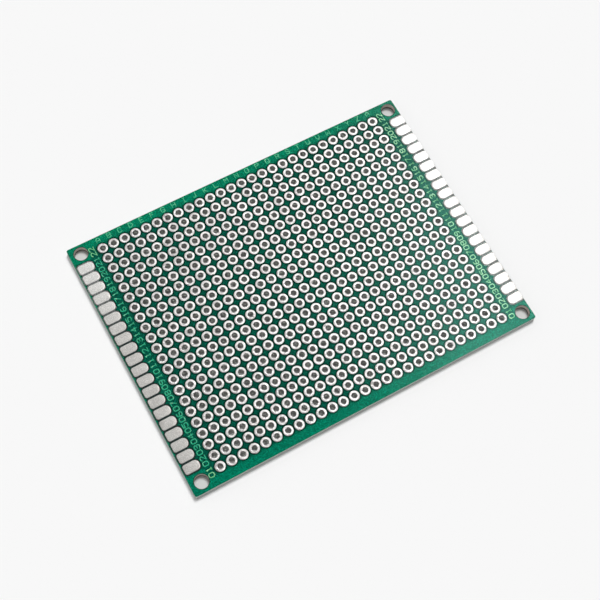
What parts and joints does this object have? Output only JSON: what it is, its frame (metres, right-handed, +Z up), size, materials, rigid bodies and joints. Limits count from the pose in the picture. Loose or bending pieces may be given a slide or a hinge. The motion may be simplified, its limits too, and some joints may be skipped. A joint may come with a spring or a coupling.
{
  "type": "prototype board",
  "caption": "Flat rectangular double-sided prototype circuit board with a grid of plated lead holes, edge contact fingers on both short sides and corner mounting holes.",
  "frame": {"origin": "under the middle of the hole grid and of the four mounting holes, on the plane the board rests on", "axes": "+X along the long side, parallel to the rows of holes, towards the right-hand fingers; +Y across the board, from row 1 towards the last row; +Z up, out of the top face"},
  "size_m": [0.0796, 0.0596, 0.0017],
  "materials": {
    "glass_epoxy": "matte",
    "solder_mask": "semi-gloss",
    "tinned_land": "satin",
    "tinned_finger": "satin"
  },
  "bodies": {
    "root": {"laminate": "glass_epoxy", "solder_mask_top": "solder_mask", "solder_mask_bottom": "solder_mask", "plated_holes_row_01": "tinned_land", "plated_holes_row_02": "tinned_land", "plated_holes_row_03": "tinned_land", "plated_holes_row_04": "tinned_land", "plated_holes_row_05": "tinned_land", "plated_holes_row_06": "tinned_land", "plated_holes_row_07": "tinned_land", "plated_holes_row_08": "tinned_land", "plated_holes_row_09": "tinned_land", "plated_holes_row_10": "tinned_land", "plated_holes_row_11": "tinned_land", "plated_holes_row_12": "tinned_land", "plated_holes_row_13": "tinned_land", "plated_holes_row_14": "tinned_land", "plated_holes_row_15": "tinned_land", "plated_holes_row_16": "tinned_land", "plated_holes_row_17": "tinned_land", "plated_holes_row_18": "tinned_land", "plated_holes_row_19": "tinned_land", "plated_holes_row_20": "tinned_land", "plated_holes_row_21": "tinned_land", "plated_holes_row_22": "tinned_land", "fingers_left_top": "tinned_finger", "fingers_left_bottom": "tinned_finger", "fingers_right_top": "tinned_finger", "fingers_right_bottom": "tinned_finger"}
  },
  "joints": []
}
